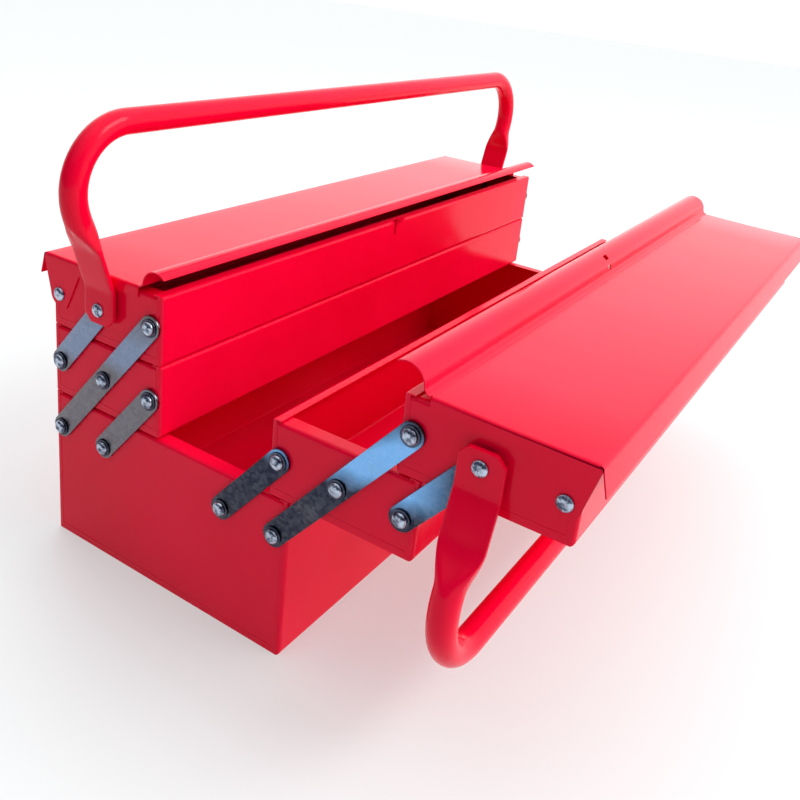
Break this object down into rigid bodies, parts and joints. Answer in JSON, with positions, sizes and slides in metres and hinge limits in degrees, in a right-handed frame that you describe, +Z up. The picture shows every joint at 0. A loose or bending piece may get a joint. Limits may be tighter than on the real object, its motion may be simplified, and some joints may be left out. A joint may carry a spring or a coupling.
{
  "type": "cantilever toolbox",
  "caption": "Cantilever toolbox for carpentry: a deep base, trays that fan out to both sides on riveted links, a lid on each top tray and tube handles.",
  "frame": {"origin": "centre of the base's underside", "axes": "+Z up, +Y along the box's length, +X across the box towards the half that stands open"},
  "size_m": [0.383, 0.5732, 0.3027],
  "materials": {
    "red_enamel": "gloss enamel",
    "zinc_steel": "zinc plated"
  },
  "bodies": {
    "base": {"base_wrapper": "red_enamel", "base_end_near": "red_enamel", "base_end_far": "red_enamel", "base_rivets": "zinc_steel", "base_washers": "zinc_steel"},
    "left_long_links": {"left_long_link_near": "zinc_steel", "left_long_link_far": "zinc_steel"},
    "left_lower_links": {"left_lower_link_near": "zinc_steel", "left_lower_link_far": "zinc_steel"},
    "left_upper_links": {"left_upper_link_near": "zinc_steel", "left_upper_link_far": "zinc_steel"},
    "left_middle_tray": {"left_middle_wrapper": "red_enamel", "left_middle_end_near": "red_enamel", "left_middle_end_far": "red_enamel", "left_middle_rivets": "zinc_steel", "left_middle_washers": "zinc_steel"},
    "left_top_tray": {"left_top_wrapper": "red_enamel", "left_top_end_near": "red_enamel", "left_top_end_far": "red_enamel", "left_top_rivets": "zinc_steel", "left_top_washers": "zinc_steel", "left_lid_rivets": "zinc_steel", "left_handle_rivets": "zinc_steel", "left_lock_lug": "red_enamel"},
    "left_lid": {"left_lid": "red_enamel"},
    "left_handle": {"left_handle": "red_enamel"},
    "right_long_links": {"right_long_link_near": "zinc_steel", "right_long_link_far": "zinc_steel"},
    "right_lower_links": {"right_lower_link_near": "zinc_steel", "right_lower_link_far": "zinc_steel"},
    "right_upper_links": {"right_upper_link_near": "zinc_steel", "right_upper_link_far": "zinc_steel"},
    "right_middle_tray": {"right_middle_wrapper": "red_enamel", "right_middle_end_near": "red_enamel", "right_middle_end_far": "red_enamel", "right_middle_rivets": "zinc_steel", "right_middle_washers": "zinc_steel"},
    "right_top_tray": {"right_top_wrapper": "red_enamel", "right_top_end_near": "red_enamel", "right_top_end_far": "red_enamel", "right_top_rivets": "zinc_steel", "right_top_washers": "zinc_steel", "right_lid_rivets": "zinc_steel", "right_handle_rivets": "zinc_steel"},
    "right_lid": {"right_lid": "red_enamel"},
    "right_handle": {"right_handle": "red_enamel"}
  },
  "joints": [
    {"name": "left_fan", "type": "hinge", "parent": "base", "child": "left_long_links", "pos_m": [-0.0915, 0, 0.0835], "axis": [0, 1, 0], "range_deg": [-79.7, 0]},
    {"name": "left_lower_swing", "type": "hinge", "parent": "base", "child": "left_lower_links", "pos_m": [-0.051, 0, 0.0835], "axis": [0, 1, 0], "range_deg": [-79.7, 0]},
    {"name": "left_middle_level", "type": "hinge", "parent": "left_long_links", "child": "left_middle_tray", "pos_m": [-0.051, 0, 0.132], "axis": [0, 1, 0], "range_deg": [0, 79.7]},
    {"name": "left_top_level", "type": "hinge", "parent": "left_long_links", "child": "left_top_tray", "pos_m": [-0.0105, 0, 0.1805], "axis": [0, 1, 0], "range_deg": [0, 79.7]},
    {"name": "left_upper_swing", "type": "hinge", "parent": "left_middle_tray", "child": "left_upper_links", "pos_m": [-0.0915, 0, 0.132], "axis": [0, 1, 0], "range_deg": [-79.7, 0]},
    {"name": "left_lid_hinge", "type": "hinge", "parent": "left_top_tray", "child": "left_lid", "pos_m": [-0.0925, 0, 0.178], "axis": [0, 1, 0], "range_deg": [-92, 0]},
    {"name": "left_handle_swing", "type": "hinge", "parent": "left_top_tray", "child": "left_handle", "pos_m": [-0.051, 0, 0.1805], "axis": [0, 1, 0], "range_deg": [-148, 21.5]},
    {"name": "right_fan", "type": "hinge", "parent": "base", "child": "right_long_links", "pos_m": [0.0915, 0, 0.0835], "axis": [0, 1, 0], "range_deg": [-79.7, 0]},
    {"name": "right_lower_swing", "type": "hinge", "parent": "base", "child": "right_lower_links", "pos_m": [0.051, 0, 0.0835], "axis": [0, 1, 0], "range_deg": [-79.7, 0]},
    {"name": "right_middle_level", "type": "hinge", "parent": "right_long_links", "child": "right_middle_tray", "pos_m": [0.132, 0, 0.132], "axis": [0, 1, 0], "range_deg": [0, 79.7]},
    {"name": "right_top_level", "type": "hinge", "parent": "right_long_links", "child": "right_top_tray", "pos_m": [0.1725, 0, 0.1805], "axis": [0, 1, 0], "range_deg": [0, 79.7]},
    {"name": "right_upper_swing", "type": "hinge", "parent": "right_middle_tray", "child": "right_upper_links", "pos_m": [0.1725, 0, 0.132], "axis": [0, 1, 0], "range_deg": [-79.7, 0]},
    {"name": "right_lid_hinge", "type": "hinge", "parent": "right_top_tray", "child": "right_lid", "pos_m": [0.2545, 0, 0.178], "axis": [0, 1, 0], "range_deg": [0, 92]},
    {"name": "right_handle_swing", "type": "hinge", "parent": "right_upper_links", "child": "right_handle", "pos_m": [0.213, 0, 0.1805], "axis": [0, 1, 0], "range_deg": [-121.8, 0]}
  ],
  "couplings": [
    {"joint": "left_lower_swing", "follows": "left_fan", "ratio": 1},
    {"joint": "left_middle_level", "follows": "left_fan", "ratio": -1},
    {"joint": "left_top_level", "follows": "left_fan", "ratio": -1},
    {"joint": "left_upper_swing", "follows": "left_fan", "ratio": 1},
    {"joint": "right_lower_swing", "follows": "right_fan", "ratio": 1},
    {"joint": "right_middle_level", "follows": "right_fan", "ratio": -1},
    {"joint": "right_top_level", "follows": "right_fan", "ratio": -1},
    {"joint": "right_upper_swing", "follows": "right_fan", "ratio": 1}
  ]
}
